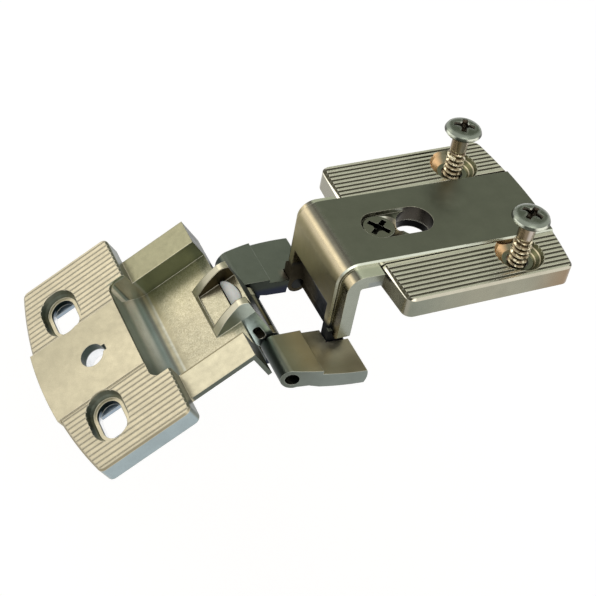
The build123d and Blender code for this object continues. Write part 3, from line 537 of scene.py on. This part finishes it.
def screw_finish():
    """The fixing screws with their threads, and the clamp screw, told apart by place."""
    tree = Tree("bright_screw")
    x, y, z = tree.axis("X"), tree.axis("Y"), tree.axis("Z")
    up = tree.axis("Z", tree.facing)
    from_axis = tree.distance(x, tree.math("SUBTRACT", tree.math("ABSOLUTE", y), FIXING_SCREW_Y))
    head = tree.step(z, 15.1, 15.2)
    clamp = tree.both(tree.step(z, 6.5, 6.3), tree.step(x, -20.0, -22.0))
    left = tree.dot(tree.facing, (-0.93, -0.22, 0.30))
    right = tree.dot(tree.facing, (0.08, -0.93, 0.36))
    threaded = tree.step(z, 10.8, 10.4)
    glint = tree.both(threaded, tree.step(tree.noise(1000, 2, 0.6), 0.54, 0.62))
    stain = tree.both(threaded, tree.step(tree.noise(1300, 2, 0.6), 0.46, 0.38))
    recess = tree.both(head, tree.step(from_axis, 2.75, 2.65), tree.step(z, 17.22, 17.12))
    colour = tree.paint(
        (0.20, 0.155, 0.10),
        # Painted highlight on faces towards -Y.
        (tree.step(tree.dot(tree.facing, (0.10, -0.99, 0.0)), 0.80, 0.97), (0.50, 0.44, 0.38)),
        # Painted highlights on the thread's crests and painted shade at its roots.
        (tree.both(threaded, tree.step(from_axis, 1.8, 2.1)), (0.34, 0.28, 0.17)),
        (tree.both(threaded, tree.step(from_axis, 2.15, 2.3)), (0.58, 0.51, 0.35)),
        (tree.both(threaded, tree.step(from_axis, 1.95, 1.75)), (0.075, 0.052, 0.025)),
        (glint, (0.86, 0.78, 0.54)),
        (stain, (0.075, 0.055, 0.026)),
        # Painted light on the heads: dark sides, lighter tops, two bright crescents on the rim, and shade
        # in the recess.
        (head, (0.040, 0.046, 0.034)),
        (tree.both(head, tree.step(up, 0.35, 0.75)), (0.230, 0.255, 0.205)),
        (tree.both(head, tree.step(up, 0.80, 0.98)), (0.175, 0.195, 0.155)),
        (tree.both(head, tree.step(left, 0.90, 0.99)), (0.70, 0.74, 0.62)),
        (tree.both(head, tree.step(right, 0.90, 0.99)), (0.80, 0.82, 0.68)),
        (recess, (0.055, 0.034, 0.018)),
        (clamp, (0.23, 0.235, 0.18)),
        # Painted shade on the clamp screw below its head.
        (tree.both(clamp, tree.step(z, 5.55, 5.45)), (0.016, 0.016, 0.013)),
    )
    rounding = tree.math("ADD", 0.00012, tree.both(head, 0.0013))
    return casting(tree, colour, 0.20, 0.03, edge_colour=(0.50, 0.50, 0.40), edge=rounding, relief=0.4,
                   dark=tree.both(head, 0.75))


# Painted shade: the pins are near black.
def pin_finish():
    return casting(Tree("dark_pin"), (0.016, 0.017, 0.016), 0.40, 0.05, edge_colour=(0.05, 0.05, 0.048),
                   edge=0.0001)


def spring_finish():
    return casting(Tree("spring_wire"), (0.30, 0.30, 0.29), 0.3, 0.05, edge_colour=(0.5, 0.5, 0.48),
                   edge=0.00005)


def nylon_finish():
    tree = Tree("white_nylon")
    cloud = tree.noise(900, 3, 0.5)
    colour = tree.mix(cloud, (0.70, 0.725, 0.70), (0.80, 0.82, 0.79))
    # Painted highlight: the edges are a little lighter.
    normal, edge_sheen = tree.edges(0.0003)
    colour = tree.mix(tree.math("MULTIPLY", edge_sheen, 0.3), colour, (0.80, 0.80, 0.77))
    rough = tree.swing(tree.noise(2400, 2), 0.34, 0.46)
    return tree.finish(colour, rough, tree.bump(tree.noise(3000, 2), 0.00001, normal), metallic=0.0,
                       Subsurface_Weight=0.12, Subsurface_Scale=0.001)


def dress():
    """Give each sub-part the finish that its material slot names."""
    finishes = {
        "plate_nickel": plate_finish(),
        "arm_nickel": arm_finish(),
        "yoke_nickel": yoke_finish(),
        "leaf_nickel": leaf_finish(),
        "screw_nickel": screw_finish(),
        "pin_steel": pin_finish(),
        "spring_steel": spring_finish(),
        "white_nylon": nylon_finish(),
    }
    for part in frame["record"]["subparts"]:
        node = NODES[part["node"]]
        node.data.materials.clear()
        node.data.materials.append(finishes[part["material_slot"]])
    return finishes


# ---- screw threads ----------------------------------------------------------------------
def screw_core(z):
    """Radius of the fixing screw's core at a height, in millimetres."""
    if z > 0.4:
        return SHANK_RADIUS
    if z > 0.0:
        return 1.5 + z / 2
    if z > -3.0:
        return 1.5
    return max(0.3, 1.5 + (z + 3.0) * 0.446)


def thread(name, y, finish):
    """Coarse helical thread with its root inside the core, which it follows down to the point.

    It rises over the first ninth of its length and falls again beside the point.
    """
    mesh = bmesh.new()
    per_turn = 48
    root_depth = 0.12
    length = THREAD_TOP - THREAD_BOTTOM
    count = int(length / THREAD_PITCH * per_turn)
    rings = []
    for i in range(count + 1):
        share = i / count
        angle = 2 * math.pi * length / THREAD_PITCH * share
        z = THREAD_TOP - length * share
        taper = min(1.0, max(0.15, (z + 5.8) / 2.8)) if z < -3.0 else 1.0
        rise = min(1.0, share * 9) * taper
        root = screw_core(z) - root_depth
        tip = screw_core(z) + (THREAD_CREST - SHANK_RADIUS) * rise
        ring = []
        # The thread's section: radii, and heights as shares of the pitch.
        for radius, lift in ((root, 0.46), (tip, 0.07), (tip, -0.07), (root, -0.46)):
            ring.append(mesh.verts.new((
                radius * math.cos(angle) * MM,
                (y + radius * math.sin(angle)) * MM,
                (z + lift * THREAD_PITCH) * MM)))
        rings.append(ring)
    for a, b in zip(rings, rings[1:]):
        for j in range(4):
            k = (j + 1) % 4
            mesh.faces.new((a[j], a[k], b[k], b[j]))
    mesh.faces.new(rings[0])
    mesh.faces.new(list(reversed(rings[-1])))
    bmesh.ops.recalc_face_normals(mesh, faces=mesh.faces)
    data = bpy.data.meshes.new(name)
    mesh.to_mesh(data)
    mesh.free()
    made = bpy.data.objects.new(name, data)
    bpy.context.collection.objects.link(made)
    made.data.materials.append(finish)
    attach(made, "base")


# ---- studio -----------------------------------------------------------------------------
def seen_directly(nodes, links):
    """1 for camera, glossy and transmission rays."""
    path = nodes.new("ShaderNodeLightPath")
    total = path.outputs["Is Camera Ray"]
    for name in ("Is Glossy Ray", "Is Transmission Ray"):
        made = nodes.new("ShaderNodeMath")
        made.operation = "MAXIMUM"
        links.new(total, made.inputs[0])
        links.new(path.outputs[name], made.inputs[1])
        total = made.outputs[0]
    return total


def make_world():
    """White to look at, and weaker where it lights the object."""
    world = bpy.data.worlds.new("studio")
    bpy.context.scene.world = world
    world.use_nodes = True
    nodes, links = world.node_tree.nodes, world.node_tree.links
    nodes.clear()
    out = nodes.new("ShaderNodeOutputWorld")
    mix = nodes.new("ShaderNodeMixShader")
    soft = nodes.new("ShaderNodeBackground")
    soft.inputs["Color"].default_value = (1.0, 0.98, 0.95, 1)
    soft.inputs["Strength"].default_value = 0.55
    white = nodes.new("ShaderNodeBackground")
    white.inputs["Color"].default_value = (1, 1, 1, 1)
    white.inputs["Strength"].default_value = 1.0
    links.new(seen_directly(nodes, links), mix.inputs[0])
    links.new(soft.outputs[0], mix.inputs[1])
    links.new(white.outputs[0], mix.inputs[2])
    links.new(mix.outputs[0], out.inputs[0])


def make_floor(height):
    """Grey matte plane whose glow makes it white to look at, but lights nothing matte."""
    tree = Tree("white_floor")
    shader = tree.node("ShaderNodeBsdfDiffuse")
    shader.inputs["Color"].default_value = (0.40, 0.40, 0.40, 1)
    glow = tree.node("ShaderNodeEmission")
    glow.inputs["Strength"].default_value = 0.76
    mix = tree.node("ShaderNodeMixShader")
    add = tree.node("ShaderNodeAddShader")
    tree.tree.links.new(seen_directly(tree.tree.nodes, tree.tree.links), mix.inputs[0])
    tree.tree.links.new(glow.outputs[0], mix.inputs[2])
    tree.tree.links.new(mix.outputs[0], add.inputs[0])
    tree.tree.links.new(shader.outputs[0], add.inputs[1])
    tree.tree.links.new(add.outputs[0], tree.out.inputs["Surface"])
    bpy.ops.mesh.primitive_plane_add(size=6, location=(0, 0, height))
    floor = bpy.context.object
    floor.name = "floor"
    floor.data.materials.append(tree.material)


def aim(obj, place, target):
    """Place an object and turn its -Z towards a target."""
    direction = Vector(target) - Vector(place)
    obj.location = place
    obj.rotation_euler = direction.to_track_quat("-Z", "Y").to_euler()


# The place that the lamps and the card face, near the object's middle.
CENTRE = Vector((-0.045, 0.0, -0.008))


def softbox(name, direction, distance, size, radiance, colour):
    """Square area lamp of a given brightness, seen along a direction from the object."""
    lamp = bpy.data.lights.new(name, "AREA")
    lamp.shape = "RECTANGLE"
    lamp.size, lamp.size_y = size
    lamp.energy = radiance * math.pi * size[0] * size[1]
    lamp.color = colour
    made = bpy.data.objects.new(name, lamp)
    bpy.context.collection.objects.link(made)
    made.visible_camera = False
    aim(made, CENTRE + Vector(direction).normalized() * distance, CENTRE)


def card(name, direction, distance, size, colour):
    """Matte card that the metal reflects, out of the camera's sight."""
    tree = Tree(name)
    shader = tree.node("ShaderNodeEmission")
    shader.inputs["Color"].default_value = (*colour, 1)
    tree.tree.links.new(shader.outputs[0], tree.out.inputs["Surface"])
    bpy.ops.mesh.primitive_plane_add(size=1)
    made = bpy.context.object
    made.name = name
    made.scale = (size[0], size[1], 1)
    made.data.materials.append(tree.material)
    made.visible_camera = False
    made.visible_diffuse = False
    made.visible_shadow = False
    aim(made, CENTRE + Vector(direction).normalized() * distance, CENTRE)


def make_camera():
    """Camera from a fit to the photograph; right, down and ahead are its axes."""
    data = bpy.data.cameras.new("camera")
    data.sensor_width = 36.0
    data.lens = 92.84
    data.clip_start = 0.01
    made = bpy.data.objects.new("camera", data)
    bpy.context.collection.objects.link(made)
    right = Vector((0.90289158, -0.40449944, 0.14548881))
    down = Vector((-0.18696376, -0.67428322, -0.71441353))
    ahead = Vector((0.38708053, 0.61783683, -0.68443138))
    turn = Matrix((right, -down, -ahead)).transposed().to_4x4()
    made.matrix_world = Matrix.Translation((-0.18229469, -0.21804571, 0.22928368)) @ turn
    bpy.context.scene.camera = made


def main():
    bpy.context.scene.view_settings.view_transform = "Standard"
    finishes = dress()
    for name, y in (("near", -FIXING_SCREW_Y), ("far", FIXING_SCREW_Y)):
        thread(f"thread_{name}", y, finishes["screw_nickel"])
    make_world()
    make_floor(FLOOR_HEIGHT)
    softbox("back_left", (-0.514, 0.618, 0.594), 0.6, (0.30, 0.30), 1.25, (1.0, 0.96, 0.88))
    softbox("front_top", (-0.10, -0.75, 0.75), 0.7, (0.40, 0.40), 1.5, (1.0, 0.98, 0.95))
    card("dark_card", (0.50, 0.55, 0.66), 0.7, (0.9, 0.9), (0.40, 0.42, 0.36))
    make_camera()


main()
